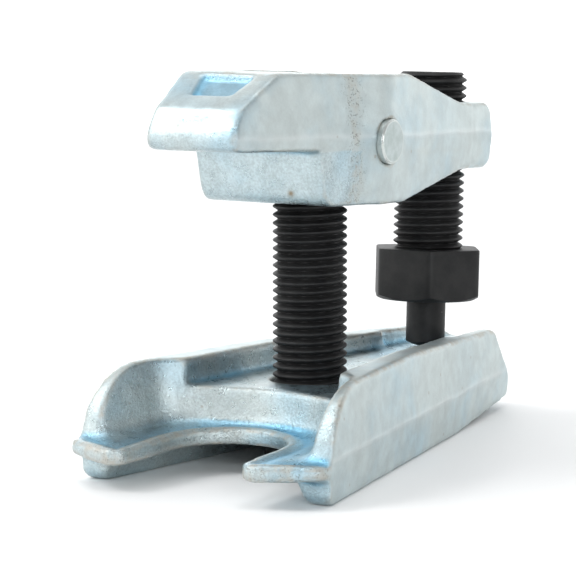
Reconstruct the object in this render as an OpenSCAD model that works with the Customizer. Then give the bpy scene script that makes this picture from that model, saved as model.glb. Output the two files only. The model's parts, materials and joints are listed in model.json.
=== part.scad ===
// Ball joint separator: a forged fork, a forged pressure lever on a trunnion, a tension
// bolt between them and a force screw that spreads their rear ends.
// Millimetres. +Z up, +Y from the jaw to the rear, +X to the right hand flank.
// The origin is under the middle of the object, in the plane of the fork's base.

/* [Fork] */
// Length of the fork from the jaw tips to the rear end
fork_len = 188; // [183:1:192]
// Half width of the fork at the tension bolt, on the parting line
fork_half_w = 31.4; // [30:0.1:33]
// Height of the side walls
wall_h = 32; // [31:0.5:33]
// Height of the channel floor
floor_z = 24.2; // [23.5:0.1:25]
// Half width of the channel at the tension bolt
channel_half_w = 21.6; // [20.5:0.1:22]
// Thickness of the jaw lip
lip_t = 4.7; // [4:0.1:5.5]
// Radius of the jaw throat
jaw_r = 18; // [17:0.5:19]

/* [Lever] */
// Height of the trunnion axis above the base
pivot_z = 95.6; // [94:0.2:100]
// Nose up tilt of the lever at rest
tilt = 2.6; // [2:0.1:3.2]
// Half width of the lever at the trunnion
lever_half_w = 27.5; // [27:0.1:28.5]
// Half height of the lever
lever_half_h = 19; // [18.5:0.1:19.5]
// Half width of the nose
nose_half_w = 15.1; // [14.5:0.1:15.7]
// Distance of the nose tip from the trunnion
nose_reach = 66.6; // [65:0.2:67.6]
// Distance of the force screw from the trunnion
screw_reach = 76.5; // [75:0.5:78]
// Radius of the boss around the force screw
boss_r = 19.8; // [19:0.1:20.5]

/* [Screws] */
// Nominal radius of both threads
thread_r = 11; // [11:0.5:11]
// Pitch of both threads
pitch = 2.5; // [2.5:0.5:2.5]
// Width of the force screw's hexagon across its flats
hex_af = 32; // [30:0.5:34]
// Height of the force screw's hexagon
hex_h = 16.3; // [15:0.1:17]
// Radius of the trunnion pins
pin_r = 6.5; // [6:0.1:7]
// Radius of the thrust pin
thrust_r = 6.2; // [6:0.1:6.5]

/* [Hidden] */
$fn = 96;

zinc = [0.72, 0.80, 0.83];
black = [0.09, 0.09, 0.09];
steel = [0.75, 0.76, 0.76];

// The bolt's place: the jaw tips are 73 mm in front of it
jaw_reach = 73;
bolt_y = jaw_reach - fork_len / 2;
rear_y = fork_len - jaw_reach;

// Fork
taper = 0.18;            // loss of half width per mm of length, each side
taper_deg = atan(taper);
fork_part_z = 13;        // height of the parting line on the flanks
top_draft = 3;
base_draft = 5;
inner_taper = 0.14;
lip_front_z = 12;        // top of the lip at its front edge
lip_rise = 0.0288;       // rise of the lip per mm towards the throat
nose_arc_r = 22;         // rounding of each wall's front end, seen from the side
nose_arc_y = -38;
web_z = 15;              // underside of the web under the channel floor
rail_half_w = 20.5;      // half width of the hollow under the fork, at the bolt
rail_taper = 0.15;
rail_flare = 4;          // the hollow widens by this much towards the base
jaw_y = -49;             // centre of the throat arc
tip_r = 4.5;             // rounding of each jaw tip
tip_x = 23.4;
tip_slant = 22;          // the front edges fall back from the tips by this angle
breast_r = 55;           // flat curve of the breast, at the channel floor
breast_apex = -23.5;
breast_corner_r = 10;
breast_half_w = 32;
breast_flare = 11;       // its sides open out towards the front by this angle
bolt_gap = 0.4;          // radial play of the tension bolt in the fork

// Ball washer and its conical seat
ball_r = 28;
seat_r = 14;
seat_z = 16;
washer_r = 17;
washer_z = 11;
ball_z = seat_z - ball_r * cos(30) - 0.05;

// Tension bolt
head_af = 27;
head_h = 10;
bolt_top_z = 112.5;

// Trunnion nut
nut_half_x = 17;
nut_half_y = 14.5;
nut_h = 22;
nut_corner = 5;
run_gap = 0.05;
thread_gap = 0.08;
pin_in = 12;             // inner end of each trunnion pin, from the middle
pin_out = lever_half_w + 0.4;

// Lever, in its own frame: origin on the trunnion axis
lever_top = lever_half_h + 0.4;
lever_bottom = -lever_half_h + 0.7;
nose_under = -2.5;
block_y = -30;           // front of the deep block behind the nose
lever_part_z = 1.5;
nose_draft = [8.5, 5];    // above and below the parting line
tail_draft = [5, 4];
boss_half_h = 10.3;
slot_half_x = nut_half_x + 0.3;
slot_half_y = 19.5;
slot_corner = 6;

// Force screw and thrust pin, in the lever's frame, on the screw's axis
screw_top = 19.5;
hex_top = -36.2;
hex_bottom = hex_top - hex_h;
tip_gap = 0.25;
tip_z = (floor_z + tip_gap - pivot_z + screw_reach * sin(tilt)) / cos(tilt);
pin_head_z = -31;
ring_z = hex_bottom + 4;
ring_h = 1.2;
ring_in = 5.4;
ring_out = 6.9;
thread_depth = 0.61 * pitch;

// Points of an arc about (x, y) from angle a to angle b
function arc(x, y, r, a, b, n = 8) =
    [for (i = [0:n]) [x + r * cos(a + (b - a) * i / n), y + r * sin(a + (b - a) * i / n)]];

// An outline from its right half, given from front to rear
function both_sides(right) =
    concat(right, [for (i = [len(right) - 1:-1:0]) [-right[i][0], right[i][1]]]);

// Half width of the fork's channel and height of the lip's top, at y from the bolt
function channel_x(y) = channel_half_w - inner_taper * y;
function lip_top(y) = lip_front_z + lip_rise * (y + jaw_reach);

// Draws children, given in the YZ plane, as a slab centred on X
module side_slab(width) {
    translate([-width / 2, 0, 0]) rotate([90, 0, 90]) linear_extrude(width) children();
}

// Everything outside a drafted flank: x past x0 at y 0 and height z0
module beyond_flank(x0, z0, turn, draft) {
    for (side = [0, 1]) mirror([side, 0, 0])
        translate([x0, 0, z0]) rotate([0, 0, turn]) rotate([0, -draft, 0])
            translate([0, -200, -100]) cube([100, 400, 200]);
}

// Body of revolution with annular grooves for a thread, from z0 up to z1
module thread_solid(z0, z1) {
    turns = floor((z1 - z0) / pitch - 0.8);
    start = z0 + 0.4 * pitch;
    edge = 1.4;
    profile = concat(
        [[0, z0], [thread_r - thread_depth, z0]],
        [for (i = [0:turns - 1]) each [
            [thread_r - thread_depth, start + i * pitch],
            [thread_r, start + (i + 0.44) * pitch],
            [thread_r, start + (i + 0.56) * pitch],
            [thread_r - thread_depth, start + (i + 1) * pitch]]],
        [[thread_r - thread_depth, z1 - edge * 0.4], [thread_r - thread_depth - edge * 0.6, z1], [0, z1]]);
    rotate_extrude() polygon(profile);
}

module fork_side() {
    polygon(concat(
        arc(-57, 3, 3, 270, 180, 4),
        arc(nose_arc_y, wall_h - nose_arc_r, nose_arc_r, 180, 90, 12),
        [[14, wall_h]],
        arc(94, wall_h - 11.5, 7.5, 85, 38, 5),
        arc(rear_y - 4, 7, 4, 25, -70, 6),
        [[60, 0]]));
}

module fork_plan() {
    side = fork_half_w + taper * 62;
    tail = fork_half_w - taper * rear_y;
    corner_r = 7;
    slanted = tip_x * sin(tip_slant) + (jaw_reach - tip_r) * cos(tip_slant) + tip_r;
    corner_y = ((side - corner_r) * sin(tip_slant) + corner_r - slanted) / cos(tip_slant);
    linear_extrude(60) polygon(both_sides(concat(
        arc(tip_x, -jaw_reach + tip_r, tip_r, 270, 270 + tip_slant, 3),
        arc(side - corner_r, corner_y, corner_r, 270 + tip_slant, 360, 6),
        arc(tail - 5, rear_y - 6, 6, 10, 90, 6))));
}

module lip_side() {
    front = -jaw_reach - 5;
    rear = -20;
    polygon([[front, lip_top(front) - lip_t], [front, lip_top(front)],
             [rear, lip_top(rear)], [rear, lip_top(rear) - lip_t]]);
}

// Outline of the space in front of the breast, grown by d
function breast_outline(d) =
    let (
        span = breast_r - breast_corner_r,
        corner_x = breast_half_w - breast_corner_r,
        lean = acos(corner_x / span),
        centre_y = breast_apex - breast_r,
        corner_y = centre_y + span * sin(lean),
        front_x = corner_x + (breast_corner_r + d) / cos(breast_flare)
            + (corner_y + 110) * tan(breast_flare))
    both_sides(concat(
        [[front_x, -110]],
        arc(corner_x, corner_y, breast_corner_r + d, breast_flare, lean, 5),
        arc(0, centre_y, breast_r + d, lean + 5, 90, 5)));

// The open space above the lip, bounded behind by the breast and by the walls
module breast_cut() {
    intersection() {
        union() {
            hull() {
                translate([0, 0, 11]) linear_extrude(0.01) polygon(breast_outline(-4.4));
                translate([0, 0, 16]) linear_extrude(0.01) polygon(breast_outline(-1.6));
            }
            hull() {
                translate([0, 0, 15.9]) linear_extrude(0.01) polygon(breast_outline(-1.65));
                translate([0, 0, 40]) linear_extrude(0.01) polygon(breast_outline(3.4));
            }
        }
        side_slab(120) polygon([[-109, lip_top(-109)], [-10, lip_top(-10)], [-10, 39], [-109, 39]]);
    }
}

module jaw_cut() {
    right = concat([[jaw_r, jaw_y]], arc(tip_x, -jaw_reach + tip_r, tip_r, 176, 270, 6),
                   [[tip_x, -jaw_reach - 5]]);
    translate([0, 0, -1]) linear_extrude(40) {
        translate([0, jaw_y]) circle(r = jaw_r);
        polygon(both_sides(right));
    }
}

module channel_plan(y0, y1, inset) {
    polygon([[-channel_x(y0) + inset, y0], [channel_x(y0) - inset, y0],
             [channel_x(y1) - inset, y1], [-channel_x(y1) + inset, y1]]);
}

module channel_cut() {
    channel_end = 92;
    pad_step = 1.6;
    translate([0, 0, floor_z]) linear_extrude(40) {
        channel_plan(-45, 34, 0);
        channel_plan(33, 66, pad_step);
        channel_plan(66, channel_end, 0);
        translate([0, channel_end]) circle(r = channel_x(channel_end));
    }
    translate([0, 0, floor_z + 5.3]) linear_extrude(40) channel_plan(30, 70, 0);
}

// Everything inside one rail's sloping inner face
module inside_rail() {
    translate([rail_half_w, 0, 0]) rotate([0, 0, atan(rail_taper)]) translate([0, 150, 0])
        rotate([90, 0, 0]) linear_extrude(300)
            polygon([[-120, -1], [rail_flare + 0.5, -1], [0, 7.5], [-0.5, web_z], [-120, web_z]]);
}

module hollow_cut() {
    hollow_front = -17;
    hollow_end = 86;
    intersection() {
        side_slab(120) polygon([
            [-90, -5], [-90, lip_top(-90) - lip_t],
            [hollow_front, lip_top(hollow_front) - lip_t], [hollow_front, web_z],
            [hollow_end, web_z], [hollow_end + 6, -5]]);
        inside_rail();
        mirror([1, 0, 0]) inside_rail();
    }
}

module lower_fork() {
    color(zinc) translate([0, bolt_y, 0]) difference() {
        intersection() {
            union() {
                side_slab(120) fork_side();
                side_slab(120) lip_side();
            }
            fork_plan();
        }
        beyond_flank(fork_half_w, fork_part_z, taper_deg, top_draft);
        beyond_flank(fork_half_w, fork_part_z, taper_deg, -base_draft);
        breast_cut();
        jaw_cut();
        channel_cut();
        hollow_cut();
        translate([0, 0, web_z - 1]) cylinder(h = 20, r = thread_r + bolt_gap);
        translate([0, 0, web_z - 0.1])
            cylinder(h = 2.6, r1 = seat_r + (seat_z - web_z + 0.1) * tan(60),
                     r2 = seat_r + (seat_z - web_z - 2.5) * tan(60));
    }
}

module ball_washer() {
    color(black) translate([0, bolt_y, 0]) difference() {
        intersection() {
            translate([0, 0, washer_z]) cylinder(h = 10, r = washer_r);
            translate([0, 0, ball_z]) sphere(r = ball_r);
        }
        translate([0, 0, washer_z - 1]) cylinder(h = 20, r = thread_r + bolt_gap);
    }
}

module tension_bolt() {
    head_top = washer_z - 0.05;
    color(black) translate([0, bolt_y, 0]) {
        intersection() {
            translate([0, 0, head_top - head_h]) cylinder(h = head_h, r = head_af / sqrt(3), $fn = 6);
            translate([0, 0, head_top - head_h])
                cylinder(h = head_h, r1 = head_af / 2 - 0.8, r2 = head_af / 2 + 12);
        }
        translate([0, 0, head_top - 1]) cylinder(h = 3, r = thread_r - thread_depth);
        thread_solid(head_top, bolt_top_z);
    }
}

module trunnion_nut() {
    color(black) translate([0, bolt_y, pivot_z]) difference() {
        translate([0, 0, -nut_h / 2]) linear_extrude(nut_h) {
            square([2 * nut_half_x, 2 * (nut_half_y - nut_corner)], center = true);
            square([2 * (nut_half_x - nut_corner), 2 * nut_half_y], center = true);
            for (x = [-1, 1], y = [-1, 1])
                translate([x * (nut_half_x - nut_corner), y * (nut_half_y - nut_corner)])
                    circle(r = nut_corner);
        }
        translate([0, 0, -nut_h]) cylinder(h = 2 * nut_h, r = thread_r + thread_gap);
        for (side = [-1, 1])
            translate([side * pin_in, 0, 0]) rotate([0, side * 90, 0])
                cylinder(h = nut_half_x, r = pin_r + run_gap);
    }
}

// Places children given in the lever's own frame
module on_lever() {
    translate([0, bolt_y, pivot_z]) rotate([-tilt, 0, 0]) children();
}

module lever_side() {
    polygon(concat(
        arc(-nose_reach + 4, nose_under + 3.6, 3.6, 270, 172, 5),
        arc(-nose_reach + 6.8, 7.3, 3, 161, 122, 4),
        arc(-43.6, lever_top - 6.5, 6.5, 122, 90, 4),
        [[18, lever_top], [61, boss_half_h + 0.2], [76, boss_half_h - 0.2],
         [76, -boss_half_h + 0.2], [61, -boss_half_h - 0.2], [15, lever_bottom]],
        arc(block_y + 7.8, lever_bottom + 5, 5, 270, 191, 5),
        [[block_y, nose_under]]));
}

module lever_plan() {
    tip = arc(nose_half_w - 3.4, -nose_reach + 3.4, 3.4, -90, -11, 6);
    translate([0, 0, -40]) linear_extrude(80)
        polygon(both_sides(concat(tip, [[lever_half_w, -1], [lever_half_w, 2], [18.8, 69], [10, 76]])));
}

module boss() {
    rotate_extrude() polygon([
        [0, -boss_half_h], [boss_r - 3, -boss_half_h], [boss_r - 1, -boss_half_h + 2.2],
        [boss_r, 0], [boss_r - 1, boss_half_h - 2.2], [boss_r - 3, boss_half_h], [0, boss_half_h]]);
}

// Shallow pocket in the sloping face above the nose, a little wider at its top
module nose_pocket() {
    low_half = 6.4;
    high_half = 8.6;
    half_run = 5.4;
    depth = 2.3;
    translate([0, -51.4, 16.1]) rotate([32, 0, 0]) translate([0, 0, -depth]) linear_extrude(14)
        polygon([[-low_half, -half_run], [low_half, -half_run],
                 [high_half, half_run], [-high_half, half_run]]);
}

module pressure_lever() {
    front_turn = atan((lever_half_w - nose_half_w) / (nose_reach - 3));
    rear_turn = atan((lever_half_w - 18.8) / 69);
    color(zinc) on_lever() difference() {
        union() {
            intersection() {
                side_slab(80) lever_side();
                lever_plan();
            }
            translate([0, screw_reach, 0]) boss();
        }
        for (flank = [[-front_turn, nose_draft], [rear_turn, tail_draft]]) {
            beyond_flank(lever_half_w, lever_part_z, flank[0], flank[1][0]);
            beyond_flank(lever_half_w, lever_part_z, flank[0], -flank[1][1]);
        }
        translate([0, 0, -40]) linear_extrude(80) {
            square([2 * slot_half_x, 2 * (slot_half_y - slot_corner)], center = true);
            square([2 * (slot_half_x - slot_corner), 2 * slot_half_y], center = true);
            for (x = [-1, 1], y = [-1, 1])
                translate([x * (slot_half_x - slot_corner), y * (slot_half_y - slot_corner)])
                    circle(r = slot_corner);
        }
        rotate([0, 90, 0]) translate([0, 0, -50]) cylinder(h = 100, r = pin_r);
        translate([0, screw_reach, -20]) cylinder(h = 40, r = thread_r + thread_gap);
        nose_pocket();
    }
}

module trunnion_pin(side) {
    edge = 0.5;
    color(steel) on_lever() rotate([0, side * 90, 0]) {
        translate([0, 0, pin_in + 0.2]) cylinder(h = pin_out - pin_in - 0.2 - edge, r = pin_r);
        translate([0, 0, pin_out - edge]) cylinder(h = edge, r1 = pin_r, r2 = pin_r - edge);
    }
}

module trunnion_pin_left() {
    trunnion_pin(-1);
}

module trunnion_pin_right() {
    trunnion_pin(1);
}

module force_screw() {
    corner_r = hex_af / sqrt(3);
    color(black) on_lever() translate([0, screw_reach, 0]) difference() {
        union() {
            thread_solid(hex_top, screw_top);
            translate([0, 0, hex_top - 2]) cylinder(h = 3, r = thread_r - thread_depth);
            intersection() {
                translate([0, 0, hex_bottom]) rotate([0, 0, 1.4]) cylinder(h = hex_h, r = corner_r, $fn = 6);
                translate([0, 0, hex_bottom]) cylinder(h = hex_h, r1 = corner_r - 3.2, r2 = corner_r + 26);
            }
        }
        translate([0, 0, hex_bottom - 1])
            cylinder(h = pin_head_z + 0.3 - hex_bottom + 1, r = thrust_r + run_gap);
        translate([0, 0, ring_z - 0.1]) cylinder(h = ring_h + 0.2, r = ring_out + 0.1);
    }
}

module thrust_pin() {
    dome_r = 12;
    color(black) on_lever() translate([0, screw_reach, 0]) difference() {
        intersection() {
            translate([0, 0, tip_z]) cylinder(h = pin_head_z - tip_z, r = thrust_r);
            union() {
                translate([0, 0, tip_z + dome_r]) sphere(r = dome_r);
                translate([0, 0, tip_z + dome_r]) cylinder(h = 60, r = dome_r);
            }
        }
        translate([0, 0, ring_z - 0.1]) difference() {
            cylinder(h = ring_h + 0.2, r = 20);
            translate([0, 0, -1]) cylinder(h = ring_h + 2, r = ring_in);
        }
    }
}

module thrust_pin_ring() {
    color(steel) on_lever() translate([0, screw_reach, ring_z]) difference() {
        cylinder(h = ring_h, r = ring_out);
        translate([0, 0, -1]) cylinder(h = ring_h + 2, r = ring_in + 0.1);
        translate([0, -2, -1]) cube([20, 4, ring_h + 2]);
    }
}

lower_fork();
ball_washer();
tension_bolt();
trunnion_nut();
pressure_lever();
trunnion_pin_left();
trunnion_pin_right();
force_screw();
thrust_pin();
thrust_pin_ring();
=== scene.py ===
"""Looks of the ball joint separator: forged, zinc plated skins over the CAD fork and lever,
cut threads on the black screws, and a plain pale studio. Metres, in the CAD frame."""

import json
import math

import bpy
import numpy as np
from mathutils import Matrix, Vector, noise


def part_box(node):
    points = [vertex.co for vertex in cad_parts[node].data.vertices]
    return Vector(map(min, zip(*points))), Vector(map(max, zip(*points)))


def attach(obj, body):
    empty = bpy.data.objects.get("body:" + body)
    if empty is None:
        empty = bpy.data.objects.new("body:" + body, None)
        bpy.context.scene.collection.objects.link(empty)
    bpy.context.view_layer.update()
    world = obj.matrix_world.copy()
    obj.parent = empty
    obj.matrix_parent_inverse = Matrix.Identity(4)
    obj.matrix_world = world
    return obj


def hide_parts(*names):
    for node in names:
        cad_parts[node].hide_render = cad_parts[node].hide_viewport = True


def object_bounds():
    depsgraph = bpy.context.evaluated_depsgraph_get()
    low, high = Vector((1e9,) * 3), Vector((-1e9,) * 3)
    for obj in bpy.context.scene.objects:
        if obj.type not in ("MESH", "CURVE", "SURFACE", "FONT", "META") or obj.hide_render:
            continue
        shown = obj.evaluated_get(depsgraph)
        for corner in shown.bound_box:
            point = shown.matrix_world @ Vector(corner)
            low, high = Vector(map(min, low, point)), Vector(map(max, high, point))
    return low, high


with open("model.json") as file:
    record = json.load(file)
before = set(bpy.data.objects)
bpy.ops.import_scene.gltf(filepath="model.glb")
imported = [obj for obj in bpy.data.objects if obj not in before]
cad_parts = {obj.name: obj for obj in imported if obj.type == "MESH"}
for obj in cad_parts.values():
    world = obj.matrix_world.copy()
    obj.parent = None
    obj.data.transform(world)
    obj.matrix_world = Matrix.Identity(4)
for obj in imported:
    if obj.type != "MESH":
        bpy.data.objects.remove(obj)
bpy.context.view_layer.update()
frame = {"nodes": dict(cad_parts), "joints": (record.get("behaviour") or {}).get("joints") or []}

MM = 0.001
nodes = frame["nodes"]
joints = {joint["name"]: joint for joint in frame["joints"]}

# Places taken from the record's joints
BOLT = Vector(joints["tension_bolt_turn"]["pos_m"])
PIVOT = Vector(joints["lever_pivot"]["pos_m"])
SCREW = Vector(joints["force_screw_turn"]["pos_m"])
SCREW_AXIS = Vector(joints["force_screw_turn"]["axis"])
TILT = math.atan2(SCREW_AXIS.y, SCREW_AXIS.z)

# Sizes of the forgings and screws, in millimetres as in the part's source
THREAD_R = 11.0
THREAD_DEPTH = 1.525
PITCH = 2.5
HEAD_AF = 27.0
HEAD_LOW, HEAD_TOP, BOLT_TOP = 0.95, 10.95, 112.5
HEX_AF, HEX_TURN = 32.0, 1.4
HEX_LOW, HEX_TOP, SCREW_TOP = -52.5, -36.2, 19.5
THRUST_BORE_R, BORE_DEPTH = 6.25, 21.8
PIN_R = 6.5
LIP_TOP, WALL_H, PARTING_Z = 12.0, 32.0, 13.0
JAW_Y, JAW_R = -49.0, 18.0
TIP_X, TIP_R, JAW_REACH, SLANT = 23.4, 4.5, 73.0, math.radians(22)
NOSE_UNDER, LEVER_PARTING = -2.5, 1.5
SCREW_REACH = 76.5
# Middle and half length of the thicker pads inside the fork's walls, with a margin
PAD_Y, PAD_HALF = 49.0, 18.0


# ---------------------------------------------------------------- mesh work

def link(name, mesh):
    """A new object in the scene for mesh."""
    piece = bpy.data.objects.new(name, mesh)
    bpy.context.scene.collection.objects.link(piece)
    return piece


def shade_smooth(mesh):
    mesh.polygons.foreach_set("use_smooth", np.ones(len(mesh.polygons), bool))


def coordinates(mesh):
    co = np.empty(len(mesh.vertices) * 3)
    mesh.vertices.foreach_get("co", co)
    return co.reshape(-1, 3)


def normals(mesh):
    n = np.empty(len(mesh.vertices) * 3, np.float32)
    mesh.vertex_normals.foreach_get("vector", n)
    return n.reshape(-1, 3).astype(float)


def edge_pairs(mesh):
    pairs = np.empty(len(mesh.edges) * 2, np.int32)
    mesh.edges.foreach_get("vertices", pairs)
    return pairs.reshape(-1, 2)


def neighbour_mean(co, pairs):
    a, b = pairs[:, 0], pairs[:, 1]
    count = np.bincount(a, minlength=len(co)) + np.bincount(b, minlength=len(co))
    total = np.stack([
        np.bincount(a, co[b, k], len(co)) + np.bincount(b, co[a, k], len(co))
        for k in range(co.shape[1])], 1)
    return total / np.maximum(count, 1)[:, None]


def relax(co, pairs, rounds, factor):
    """Rounds off every edge. factor is one number or one per vertex, from 0 to 1."""
    share = np.reshape(factor, (-1, 1))
    for _ in range(rounds):
        co = co + share * (neighbour_mean(co, pairs) - co)
    return co


def bulge(co, mesh_normals, pairs, rounds=14):
    """Signed bulge of each vertex in millimetres: above 0 on outer edges, below 0 in hollows."""
    return ((co - relax(co, pairs, rounds, 0.5)) * mesh_normals).sum(1) / MM


def smoothstep(low, high, value):
    t = np.clip((value - low) / (high - low), 0, 1)
    return t * t * (3 - 2 * t)


def ridge(distance, width):
    return np.exp(-((distance / width) ** 2))


def turbulence(co, size, octaves=2):
    """Smooth noise from -1 to 1 at each point, with features of about size metres."""
    return np.array([noise.fractal(Vector(p) / size, 1.0, 2.0, octaves) for p in co])


def set_attribute(mesh, name, values):
    mesh.attributes.new(name, "FLOAT", "POINT").data.foreach_set("value", values.astype(np.float32))


def forged_mesh(node, voxel):
    """The CAD node's mesh as an even grid of small quads."""
    raw = link("raw_" + node, nodes[node].data.copy())
    remesh = raw.modifiers.new("remesh", "REMESH")
    remesh.mode = "VOXEL"
    remesh.voxel_size = voxel
    graph = bpy.context.evaluated_depsgraph_get()
    mesh = bpy.data.meshes.new_from_object(raw.evaluated_get(graph))
    bpy.data.objects.remove(raw)
    return mesh


def finish_forging(name, body, node, mesh, marks):
    """Turns a shaped grid into a piece that stands for its node. marks are its surface masks."""
    shade_smooth(mesh)
    mesh.materials.clear()
    for key, values in marks.items():
        set_attribute(mesh, key, values)
    piece = link(name, mesh)
    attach(piece, body)
    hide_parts(node)
    return piece


def lever_frame(co):
    """Points in the lever's own frame, in millimetres: origin on the trunnion, level with its top."""
    back = Matrix.Rotation(TILT, 3, "X")
    return (co - np.array(PIVOT)) @ np.array(back).T / MM


# ---------------------------------------------------------------- forgings

def rim_distance(p):
    """Distance in millimetres from the lip's free edge, inwards, for points p from the bolt."""
    x, y = np.abs(p[:, 0]), p[:, 1]
    throat = np.where(y > JAW_Y, np.hypot(x, y - JAW_Y) - JAW_R, x - JAW_R - 0.4)
    edge = TIP_X * math.sin(SLANT) + (JAW_REACH - TIP_R) * math.cos(SLANT) + TIP_R
    front = edge - x * math.sin(SLANT) + y * math.cos(SLANT)
    return np.maximum(np.minimum(throat, front), 0)


def fork_skin():
    mesh = forged_mesh("lower_fork", 0.72 * MM)
    pairs = edge_pairs(mesh)
    co = coordinates(mesh)
    start = (co - np.array([0, BOLT.y, 0])) / MM
    pad = smoothstep(27, 29, start[:, 2]) * (np.abs(start[:, 1] - PAD_Y) < PAD_HALF)
    pad = pad * (np.abs(start[:, 0]) < PAD_HALF)
    bore = np.hypot(start[:, 0], start[:, 1]) < 14
    co = relax(co, pairs, 11, np.where(bore | (pad > 0.5), 0.2, 0.5))
    # A wide fillet at the foot of the breast, and round ends on the lip
    x, y, z = start.T
    foot = smoothstep(10.2, 11.8, z) * smoothstep(19, 16, z) * smoothstep(-24, -26, y)
    foot = foot * smoothstep(3.5, 5.5, rim_distance(start))
    ends = smoothstep(33, 36, np.abs(x)) * smoothstep(-59, -62, y)
    co = relax(co, pairs, 26, 0.5 * np.maximum(foot, ends))
    mesh.vertices.foreach_set("co", co.ravel())
    n = normals(mesh)
    p = (co - np.array([0, BOLT.y, 0])) / MM
    up = smoothstep(0.4, 0.8, n[:, 2])
    # A raised bead along the free edge of the lip, and the groove behind it
    on_lip = up * (p[:, 2] < LIP_TOP + 3) * (p[:, 2] > LIP_TOP - 2) * (p[:, 1] < -25)
    from_rim = rim_distance(p)
    rise = on_lip * (0.4 * ridge(from_rim - 2.0, 1.3) - 0.45 * ridge(from_rim - 5.6, 1.8))
    # The uneven skin that forging dies leave
    wave = turbulence(co, 14 * MM)
    dent = turbulence(co, 3.5 * MM)
    lift = rise + 0.12 * wave + 0.02 * dent
    co = co + n * (lift * MM)[:, None]
    low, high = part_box("lower_fork")
    co = np.clip(co, np.array(low), np.array(high))
    mesh.vertices.foreach_set("co", co.ravel())
    n = normals(mesh)
    curve = bulge(co, n, pairs)
    outer = smoothstep(0.6, 0.9, np.abs(n[:, 0])) * (n[:, 0] * p[:, 0] > 0)
    top = smoothstep(0.6, 0.9, n[:, 2]) * (p[:, 2] > WALL_H - 5)
    under = smoothstep(0.5, 0.9, -n[:, 2])
    rim = (from_rim < 5) * (p[:, 1] < -25) * (p[:, 2] > 6) * (p[:, 2] < LIP_TOP + 1.5)
    edge = smoothstep(0.05, 0.4, curve)
    marks = {
        "grain": np.clip(1 - 0.8 * outer - 0.7 * top - 0.4 * under, 0.12, 1),
        "wear": np.clip(edge * (0.5 + 0.5 * (p[:, 2] > 6)) + 0.5 * rim * edge + 0.2 * top, 0, 1),
        # Blue passivation tint with painted shade: darker and bluer in concave creases and in the groove
        # behind the bead
        "hollow": np.clip(smoothstep(0.03, 0.38, -curve) + 0.75 * on_lip * ridge(from_rim - 7, 4), 0, 1),
        "pits": np.clip(0.5 * rim * (n[:, 1] < 0.2) + 0.35 * edge * (p[:, 2] > 20), 0, 1),
        "seam": outer * ridge(p[:, 2] - PARTING_Z - 0.5 * wave, 0.9),
        "smut": np.zeros(len(co)),
    }
    return finish_forging("fork_forging", "fork", "lower_fork", mesh, marks)


def lever_skin():
    mesh = forged_mesh("pressure_lever", 0.6 * MM)
    pairs = edge_pairs(mesh)
    co = coordinates(mesh)
    start = lever_frame(co)
    pin_hole = np.hypot(start[:, 1], start[:, 2]) < 8.5
    screw_hole = np.hypot(start[:, 1] - SCREW_REACH, start[:, 0]) < 13
    slot = (np.abs(start[:, 0]) < 18.5) & (np.abs(start[:, 1]) < 20.5)
    kept = np.where(pin_hole | screw_hole, 0.06, np.where(slot, 0.25, 0.5))
    co = relax(co, pairs, 15, kept)
    mesh.vertices.foreach_set("co", co.ravel())
    n = normals(mesh)
    p = lever_frame(co)
    wave = turbulence(co, 13 * MM)
    dent = turbulence(co, 3.2 * MM)
    free = 1 - (pin_hole | screw_hole)
    co = co + n * ((0.15 * wave + 0.02 * dent) * free * MM)[:, None]
    low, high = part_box("pressure_lever")
    co = np.clip(co, np.array(low), np.array(high))
    mesh.vertices.foreach_set("co", co.ravel())
    n = normals(mesh)
    curve = bulge(co, n, pairs)
    flank = smoothstep(0.75, 0.92, np.abs(n[:, 0]))
    block = (p[:, 2] < NOSE_UNDER) * (p[:, 1] < -13)
    front = smoothstep(0.5, 0.9, -n[:, 1])
    edge = smoothstep(0.05, 0.4, curve)
    crown = smoothstep(0.7, 0.95, n[:, 2]) * (p[:, 2] > 17)
    pocket = (np.abs(p[:, 0]) < 9) * (p[:, 1] > -58) * (p[:, 1] < -45) * (p[:, 2] > 9)
    pocket = pocket * smoothstep(0.6, 1.4, (18.6 - 0.62 * (-47 - p[:, 1])) - p[:, 2])
    band = ridge(p[:, 1] + 15 + 2 * wave, 3.2) * flank
    line = ridge(p[:, 2] + 3.5 + wave, 1.6) * (p[:, 1] > 9) * (p[:, 1] < 60) * flank
    marks = {
        "grain": np.clip(1 - 0.8 * flank * (1 - block) - 0.55 * (n[:, 2] > 0.5), 0.12, 1),
        "wear": np.clip(1.2 * edge + 0.6 * band + 0.3 * line + 0.5 * crown, 0, 1),
        # Blue passivation tint with painted shade: darker and bluer in creases, on the lower block under
        # the nose, a little on faces turned to the front, and strongly in the pocket
        "hollow": np.clip(
            smoothstep(0.03, 0.35, -curve) + 0.12 * block + 0.05 * front + 0.8 * pocket, 0, 1),
        "pits": np.clip(0.3 * edge * (p[:, 1] < -20) + 0.85 * band, 0, 1),
        "seam": flank * ridge(p[:, 2] - LEVER_PARTING - 0.5 * wave, 0.9),
        "smut": ridge(np.hypot(p[:, 0] - 9.6, p[:, 2] + 14.9), 0.9) * (p[:, 1] < -20),
    }
    return finish_forging("lever_forging", "lever", "pressure_lever", mesh, marks)


# ---------------------------------------------------------------- screws

def grid_mesh(name, rings, closed_low, closed_high):
    """A skin over rings of points, each with the same count, from the lowest to the highest."""
    count = len(rings[0])
    points = [p for ring in rings for p in ring]
    faces = []
    for i in range(len(rings) - 1):
        for j in range(count):
            a, b = i * count + j, i * count + (j + 1) % count
            faces.append((a, b, b + count, a + count))
    for is_closed, i, flip in ((closed_low, 0, True), (closed_high, len(rings) - 1, False)):
        if not is_closed:
            continue
        centre = len(points)
        ring = rings[i]
        points.append(tuple(sum(p[k] for p in ring) / count for k in range(3)))
        for j in range(count):
            a, b = i * count + j, i * count + (j + 1) % count
            faces.append((centre, b, a) if flip else (centre, a, b))
    mesh = bpy.data.meshes.new(name)
    mesh.from_pydata([tuple(c * MM for c in p) for p in points], [], faces)
    mesh.validate()
    return mesh


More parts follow.
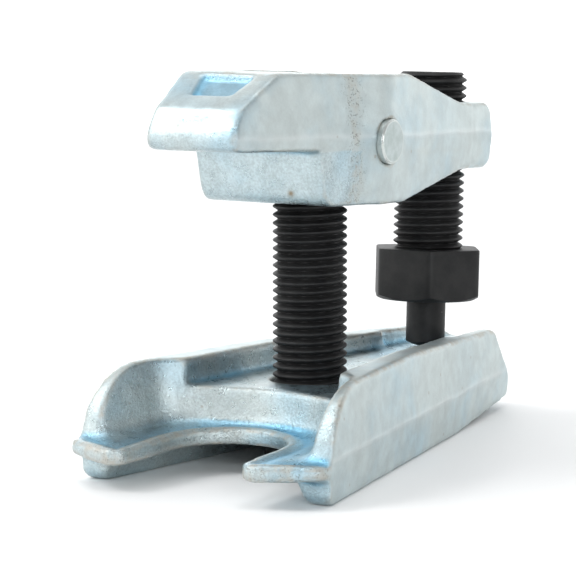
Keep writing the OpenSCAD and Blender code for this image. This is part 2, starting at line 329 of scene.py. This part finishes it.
def turned_ring(radius_at, z_at, count):
    """One ring of points: radius_at and z_at give each angle's radius and height."""
    ring = []
    for j in range(count):
        angle = 2 * math.pi * j / count
        r = radius_at(angle)
        ring.append((r * math.cos(angle), r * math.sin(angle), z_at(angle)))
    return ring


def thread_mesh(name, z0, z1, count=88, rows=12):
    """A right hand thread from z0 up to z1, with a chamfered top."""
    root = THREAD_R - THREAD_DEPTH
    chamfer = 1.5

    def thread_r(angle, z):
        turn = ((z - z0) / PITCH - angle / (2 * math.pi)) % 1
        height = min(1.0, (1 - abs(2 * turn - 1)) / 0.86)
        height = height * height * (3 - 2 * height) * 0.45 + height * 0.55
        full = root + THREAD_DEPTH * height
        top_limit = THREAD_R - max(0.0, z - (z1 - chamfer)) * 1.05
        low_limit = root + max(0.0, z - z0) * 1.2
        return min(full, top_limit, low_limit)

    steps = round((z1 - z0) / PITCH * rows)
    rings = []
    for i in range(steps + 1):
        z = z0 + (z1 - z0) * i / steps
        rings.append(turned_ring(lambda a: thread_r(a, z), lambda a: z, count))
    # Two rings inside the thread's root carry the flat top
    core = root - 0.4
    for r in (core, core - 0.72):
        rings.append(turned_ring(lambda a: r, lambda a: z1, count))
    return grid_mesh(name, rings, True, True)


def hexagon_mesh(name, across, z_low, z_top, turn, bore_r=0.0, bore_depth=0.0, low_cut=3.2, slope=0.56):
    """A hexagon with a turned chamfer on its lower end and, if bore_r is above 0, a blind bore there."""
    count = 360
    corner = across / math.sqrt(3)

    def side_r(angle):
        part = (angle - math.radians(turn)) % (math.pi / 3) - math.pi / 6
        flat = across / 2 / math.cos(part)
        soft = corner - 0.35
        blend = 0.25
        return soft - blend * math.log1p(math.exp((soft - flat) / blend)) if flat > soft - 3 else flat

    face_r = corner - low_cut

    def chamfer_z(angle):
        return z_low + max(0.0, side_r(angle) - face_r) * slope

    rings = []
    if bore_r > 0:
        rings.append(turned_ring(lambda a: bore_r, lambda a: z_low + bore_depth, count))
        rings.append(turned_ring(lambda a: bore_r, lambda a: z_low + 0.5, count))
        rings.append(turned_ring(lambda a: bore_r + 0.5, lambda a: z_low, count))
    rings.append(turned_ring(lambda a: min(face_r, side_r(a)) - 0.35, lambda a: z_low, count))
    rings.append(turned_ring(lambda a: min(face_r, side_r(a)), lambda a: z_low + 0.12, count))
    rings.append(turned_ring(lambda a: side_r(a) - 0.1, lambda a: chamfer_z(a) + 0.05, count))
    rings.append(turned_ring(side_r, lambda a: chamfer_z(a) + 0.45, count))
    rings.append(turned_ring(side_r, lambda a: z_top - 0.45, count))
    rings.append(turned_ring(lambda a: side_r(a) - 0.14, lambda a: z_top - 0.12, count))
    rings.append(turned_ring(lambda a: side_r(a) - 0.5, lambda a: z_top, count))
    rings.append(turned_ring(lambda a: THREAD_R - 1.6, lambda a: z_top, count))
    return grid_mesh(name, rings, True, True)


def sharpen(piece, degrees):
    """Smooth shading that keeps edges sharper than degrees."""
    shade_smooth(piece.data)
    piece.data.set_sharp_from_angle(angle=math.radians(degrees))


def screw_piece(name, mesh, place, body, node):
    piece = link(name, mesh)
    sharpen(piece, 38)
    piece.data.transform(place)
    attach(piece, body)
    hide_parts(node)
    return piece


def tension_bolt_pieces():
    place = Matrix.Translation((BOLT.x, BOLT.y, 0))
    shank = thread_mesh("bolt_thread", HEAD_TOP - 0.6, BOLT_TOP)
    head = hexagon_mesh("bolt_head", HEAD_AF, HEAD_LOW, HEAD_TOP, 0, low_cut=2.4)
    return [screw_piece("bolt_thread", shank, place, "tension_bolt", "tension_bolt"),
            screw_piece("bolt_head", head, place, "tension_bolt", "tension_bolt")]


def force_screw_pieces():
    place = Matrix.Translation(SCREW) @ Matrix.Rotation(-TILT, 4, "X")
    shank = thread_mesh("force_thread", HEX_TOP - 0.6, SCREW_TOP)
    hexagon = hexagon_mesh("force_hexagon", HEX_AF, HEX_LOW, HEX_TOP, HEX_TURN, THRUST_BORE_R, BORE_DEPTH)
    return [screw_piece("force_thread", shank, place, "force_screw", "force_screw"),
            screw_piece("force_hexagon", hexagon, place, "force_screw", "force_screw")]


# ---------------------------------------------------------------- materials

class Shader:
    """A material made node by node."""

    def __init__(self, name):
        self.material = bpy.data.materials.new(name)
        self.material.use_nodes = True
        self.tree = self.material.node_tree
        self.tree.nodes.clear()
        self.place = self.add("ShaderNodeTexCoord").outputs["Object"]

    def add(self, kind, inputs=(), **settings):
        made = self.tree.nodes.new(kind)
        for key, value in settings.items():
            setattr(made, key, value)
        for key, value in dict(inputs).items():
            self.feed(made.inputs[key], value)
        return made

    def feed(self, socket, value):
        if isinstance(value, bpy.types.NodeSocket):
            self.tree.links.new(value, socket)
        else:
            socket.default_value = value

    def mark(self, name):
        return self.add("ShaderNodeAttribute", attribute_name=name).outputs["Fac"]

    def noise(self, size_mm, detail=3.0, rough=0.55):
        return self.add("ShaderNodeTexNoise", {
            "Vector": self.place, "Scale": 1000 / size_mm, "Detail": detail, "Roughness": rough,
        }).outputs["Fac"]

    def cells(self, size_mm, feature="F1"):
        return self.add("ShaderNodeTexVoronoi", {
            "Vector": self.place, "Scale": 1000 / size_mm}, feature=feature).outputs["Distance"]

    def math(self, operation, a, b=0.0, clamp=False):
        made = self.add("ShaderNodeMath", operation=operation, use_clamp=clamp)
        self.feed(made.inputs[0], a)
        self.feed(made.inputs[1], b)
        return made.outputs[0]

    def fade(self, value, low, high, to_low=0.0, to_high=1.0):
        return self.add("ShaderNodeMapRange", {
            "Value": value, "From Min": low, "From Max": high, "To Min": to_low, "To Max": to_high,
        }, interpolation_type="SMOOTHSTEP").outputs["Result"]

    def mix(self, factor, a, b):
        made = self.add("ShaderNodeMix", data_type="RGBA")
        self.feed(made.inputs[0], factor)
        self.feed(made.inputs[6], a if isinstance(a, bpy.types.NodeSocket) else (*a, 1))
        self.feed(made.inputs[7], b if isinstance(b, bpy.types.NodeSocket) else (*b, 1))
        return made.outputs[2]

    def scale(self, colour, amount):
        made = self.add("ShaderNodeVectorMath", {0: colour, "Scale": amount}, operation="SCALE")
        return made.outputs["Vector"]

    def bump(self, height, strength, distance_mm, under=None):
        inputs = {"Height": height, "Strength": strength, "Distance": distance_mm * MM}
        if under is not None:
            inputs["Normal"] = under
        return self.add("ShaderNodeBump", inputs).outputs["Normal"]

    def close(self, colour, roughness, metallic, normal, specular=0.5):
        surface = self.add("ShaderNodeBsdfPrincipled", {
            "Base Color": colour, "Roughness": roughness, "Metallic": metallic, "Normal": normal,
            "Specular IOR Level": specular})
        out = self.add("ShaderNodeOutputMaterial")
        self.tree.links.new(surface.outputs[0], out.inputs["Surface"])
        return self.material


def zinc_material():
    """Bright zinc plate with a blue passivation over a forged skin, with shade painted into its hollows."""
    s = Shader("zinc plate on forging")
    pale, blue = (0.53, 0.585, 0.58), (0.23, 0.48, 0.64)
    beige, rust, dark = (0.47, 0.435, 0.375), (0.23, 0.16, 0.08), (0.13, 0.125, 0.11)
    grain, wear, hollow = s.mark("grain"), s.mark("wear"), s.mark("hollow")
    patches = s.noise(18, 3)
    blotches = s.noise(3.2, 4)
    peel = s.noise(0.7, 5.0, 0.6)
    fine = s.noise(0.3, 2)
    # Painted shade: creases, recesses and the lever's pocket are pulled toward a darker blue, on top of the
    # passivation patches
    tint = s.math("ADD", s.math("MULTIPLY", hollow, 0.7), s.fade(patches, 0.45, 0.75, 0.0, 0.2))
    drift = s.math("MULTIPLY", s.fade(s.noise(30, 2), 0.42, 0.68, 0.05, 0.4), grain)
    tint = s.math("ADD", tint, drift, clamp=True)
    colour = s.mix(tint, pale, blue)
    broad = s.fade(s.noise(8, 3), 0.35, 0.65, -0.05, 0.05)
    mottle = s.math("ADD", s.fade(blotches, 0.3, 0.7, 0.93, 1.05), broad)
    glint = s.math("MULTIPLY", s.fade(peel, 0.3, 0.7, -0.13, 0.13), s.fade(grain, 0.1, 1.0, 0.12, 1.0))
    colour = s.scale(colour, s.math("ADD", mottle, glint))
    worn = s.math("MULTIPLY", s.fade(wear, 0.1, 0.9), s.fade(blotches, 0.35, 0.65, 0.08, 0.7))
    colour = s.mix(worn, colour, beige)
    colour = s.mix(s.math("MULTIPLY", s.mark("seam"), 0.22), colour, (0.78, 0.80, 0.80))
    spots = s.math("MULTIPLY", s.fade(s.cells(0.62), 0.46, 0.18), s.fade(s.noise(1.5, 2), 0.42, 0.58))
    pitting = s.math("MULTIPLY", spots, s.mark("pits"), clamp=True)
    colour = s.mix(s.math("MULTIPLY", pitting, 0.6), colour, dark)
    stray = s.math("MULTIPLY", s.fade(s.cells(9), 0.075, 0.045), 0.5)
    colour = s.mix(stray, colour, (0.34, 0.31, 0.27))
    colour = s.mix(s.math("MULTIPLY", s.mark("smut"), s.fade(blotches, 0.35, 0.5, 0.5, 1.0)), colour, rust)
    rough = s.fade(blotches, 0.3, 0.7, 0.26, 0.36)
    rough = s.math("ADD", rough, s.fade(grain, 0.1, 1.0, 0.2, 0.0))
    rough = s.math("ADD", rough, s.math("MULTIPLY", worn, 0.12))
    rough = s.math("ADD", rough, s.math("MULTIPLY", pitting, 0.25), clamp=True)
    normal = s.bump(peel, s.fade(grain, 0.1, 1.0, 0.15, 1.0), 0.26)
    normal = s.bump(fine, s.fade(grain, 0.1, 1.0, 0.10, 0.35), 0.07, normal)
    normal = s.bump(s.mark("seam"), 0.5, 0.25, normal)
    normal = s.bump(s.math("MULTIPLY", pitting, -1.0), 0.8, 0.35, normal)
    return s.close(colour, rough, 0.94, normal)


def black_material(name, lightest=(0.017, 0.017, 0.017)):
    """Blackened steel with a little dust."""
    s = Shader(name)
    patches = s.noise(6, 4)
    fine = s.noise(0.35, 3)
    colour = s.mix(s.fade(patches, 0.3, 0.7), (0.008, 0.008, 0.0085), lightest)
    dust = s.math("MULTIPLY", s.fade(s.cells(4.5), 0.06, 0.035), s.fade(s.noise(2.2, 2), 0.55, 0.65))
    colour = s.mix(s.math("MULTIPLY", dust, 0.55), colour, (0.30, 0.30, 0.29))
    rough = s.fade(fine, 0.25, 0.75, 0.46, 0.60)
    rough = s.math("ADD", rough, s.math("MULTIPLY", dust, 0.3), clamp=True)
    normal = s.bump(fine, 0.35, 0.05)
    normal = s.bump(patches, 0.2, 0.2, normal)
    return s.close(colour, rough, 0.0, normal, 0.32)


def pin_material():
    """Cut end of a hardened pin: matt in the middle, with a painted highlight round its rim."""
    s = Shader("trunnion pin steel")
    parts = s.add("ShaderNodeSeparateXYZ", {"Vector": s.place})
    across = s.math("SUBTRACT", parts.outputs["Y"], PIVOT.y)
    height = s.math("SUBTRACT", parts.outputs["Z"], PIVOT.z)
    radius = s.math("SQRT", s.math("ADD", s.math("POWER", across, 2.0), s.math("POWER", height, 2.0)))
    rim = s.fade(radius, (PIN_R - 1.0) * MM, (PIN_R - 0.45) * MM)
    turning = s.add("ShaderNodeMath", operation="SINE")
    s.feed(turning.inputs[0], s.math("MULTIPLY", radius, 2 * math.pi / (0.42 * MM)))
    blotches = s.noise(2.4, 4)
    colour = s.mix(s.fade(blotches, 0.3, 0.7), (0.40, 0.46, 0.45), (0.54, 0.60, 0.60))
    # Painted highlight: the colour turns lighter in a ring round the pin's rim
    colour = s.mix(s.math("MULTIPLY", rim, 0.6), colour, (0.70, 0.72, 0.70))
    rough = s.math("ADD", s.fade(blotches, 0.3, 0.7, 0.42, 0.56), s.math("MULTIPLY", rim, -0.16))
    normal = s.bump(turning.outputs[0], 0.25, 0.03)
    normal = s.bump(s.noise(0.5, 3), 0.3, 0.06, normal)
    return s.close(colour, rough, 0.9, normal)


def steel_material():
    """Drawn spring wire of the retaining ring."""
    s = Shader("spring steel")
    streaks = s.noise(0.8, 3)
    colour = s.mix(s.fade(streaks, 0.3, 0.7), (0.46, 0.46, 0.45), (0.62, 0.62, 0.60))
    return s.close(colour, s.fade(streaks, 0.3, 0.7, 0.25, 0.4), 1.0, s.bump(streaks, 0.3, 0.03))


def floor_material():
    s = Shader("pale studio floor")
    colour = s.mix(s.noise(900, 2), (0.90, 0.905, 0.91), (0.93, 0.93, 0.93))
    return s.close(colour, 0.65, 0.0, s.bump(s.noise(2, 2), 0.02, 0.1))


def paint(pieces, material):
    for piece in pieces:
        piece.data.materials.clear()
        piece.data.materials.append(material)


def carried_over(names, width_mm, material):
    """CAD nodes that stay in view, with their edges broken."""
    for name in names:
        bevel = nodes[name].modifiers.new("broken edges", "BEVEL")
        bevel.width = width_mm * MM
        bevel.segments = 3
        bevel.limit_method = "ANGLE"
        bevel.angle_limit = math.radians(35)
    paint([nodes[name] for name in names], material)


# ---------------------------------------------------------------- studio

def studio_world():
    """Soft light from all round: white behind the part, dimmer behind the camera."""
    world = bpy.data.worlds.new("studio")
    world.use_nodes = True
    bpy.context.scene.world = world
    tree = world.node_tree
    tree.nodes.clear()

    def math_node(operation, a, b):
        made = tree.nodes.new("ShaderNodeMath")
        made.operation = operation
        for socket, value in zip(made.inputs, (a, b)):
            if isinstance(value, bpy.types.NodeSocket):
                tree.links.new(value, socket)
            else:
                socket.default_value = value
        return made.outputs[0]

    place = tree.nodes.new("ShaderNodeTexCoord")
    parts = tree.nodes.new("ShaderNodeSeparateXYZ")
    tree.links.new(place.outputs["Generated"], parts.inputs[0])
    back_turn = math.radians(CAMERA_AZIMUTH)
    backwards = math_node("ADD", math_node("MULTIPLY", parts.outputs["X"], -math.sin(back_turn)),
                          math_node("MULTIPLY", parts.outputs["Y"], math.cos(back_turn)))
    ramp = tree.nodes.new("ShaderNodeMapRange")
    ramp.interpolation_type = "SMOOTHSTEP"
    tree.links.new(backwards, ramp.inputs["Value"])
    for key, value in (("From Min", -0.6), ("From Max", 0.6), ("To Min", 0.62), ("To Max", 1.6)):
        ramp.inputs[key].default_value = value
    zenith = tree.nodes.new("ShaderNodeMapRange")
    zenith.interpolation_type = "SMOOTHSTEP"
    tree.links.new(parts.outputs["Z"], zenith.inputs["Value"])
    for key, value in (("From Min", 0.1), ("From Max", 0.8), ("To Min", 1.0), ("To Max", 0.5)):
        zenith.inputs[key].default_value = value
    strength = math_node("MULTIPLY", ramp.outputs["Result"], zenith.outputs["Result"])
    background = tree.nodes.new("ShaderNodeBackground")
    background.inputs["Color"].default_value = (0.985, 0.995, 1.0, 1)
    tree.links.new(strength, background.inputs["Strength"])
    out = tree.nodes.new("ShaderNodeOutputWorld")
    tree.links.new(background.outputs[0], out.inputs["Surface"])


def softbox(name, position, aim, width, height, watts, colour=(1, 1, 1)):
    data = bpy.data.lights.new(name, "AREA")
    data.shape = "RECTANGLE"
    data.size, data.size_y = width, height
    data.energy = watts
    data.color = colour
    lamp = bpy.data.objects.new(name, data)
    lamp.location = position
    lamp.rotation_mode = "QUATERNION"
    lamp.rotation_quaternion = (Vector(aim) - Vector(position)).to_track_quat("-Z", "Y")
    bpy.context.scene.collection.objects.link(lamp)


FLOOR_HALF = 1.05


def studio_floor():
    mesh = bpy.data.meshes.new("floor")
    mesh.from_pydata([(x * FLOOR_HALF, y * FLOOR_HALF, 0) for x, y in ((-1, -1), (1, -1), (1, 1), (-1, 1))],
                     [], [(0, 1, 2, 3)])
    floor = link("floor", mesh)
    floor.location.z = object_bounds()[0].z
    paint([floor], floor_material())


CAMERA_AZIMUTH = 30.5
CAMERA_ELEVATION = 7.35
CAMERA_DISTANCE = 0.83


def photo_camera():
    """A long lens low in front of the near flank, aimed just beside the tension bolt."""
    azimuth, elevation = math.radians(CAMERA_AZIMUTH), math.radians(CAMERA_ELEVATION)
    back = Vector((math.sin(azimuth) * math.cos(elevation),
                   -math.cos(azimuth) * math.cos(elevation), math.sin(elevation)))
    target = Vector((BOLT.x - 6.8 * MM, BOLT.y - 1.2 * MM, 50.9 * MM))
    data = bpy.data.cameras.new("camera")
    data.lens = 175
    data.sensor_width = 36
    data.clip_start, data.clip_end = 0.05, 60
    camera = bpy.data.objects.new("camera", data)
    camera.location = target + back * CAMERA_DISTANCE
    camera.rotation_mode = "QUATERNION"
    camera.rotation_quaternion = (-back).to_track_quat("-Z", "Y")
    bpy.context.scene.collection.objects.link(camera)
    bpy.context.scene.camera = camera


def studio():
    middle = Vector((0, 0, 0.05))
    softbox("key", (-1.0, -1.7, 0.5), middle, 1.4, 0.7, 7, (1.0, 0.99, 0.97))
    softbox("high", (-1.05, -0.85, 1.6), middle, 0.8, 0.8, 15)
    softbox("fill", (1.5, -1.5, 0.75), middle, 0.9, 0.9, 13, (0.96, 0.98, 1.0))
    softbox("top", (0.2, -0.2, 1.9), middle, 1.2, 1.2, 9)
    softbox("rim", (-1.2, 1.6, 1.0), middle, 1.2, 0.9, 5)
    bpy.context.scene.view_settings.view_transform = "Standard"


# ---------------------------------------------------------------- the part

zinc = zinc_material()
black = black_material("blackened steel")
paint([fork_skin(), lever_skin()], zinc)
paint(tension_bolt_pieces() + force_screw_pieces(), black)
oiled = black_material("oiled black steel", (0.03, 0.03, 0.03))
carried_over(["ball_washer", "trunnion_nut"], 0.4, oiled)
carried_over(["thrust_pin"], 0.35, black)
carried_over(["trunnion_pin_left", "trunnion_pin_right"], 0.15, pin_material())
carried_over(["thrust_pin_ring"], 0.12, steel_material())

photo_camera()
studio_world()
studio_floor()
studio()
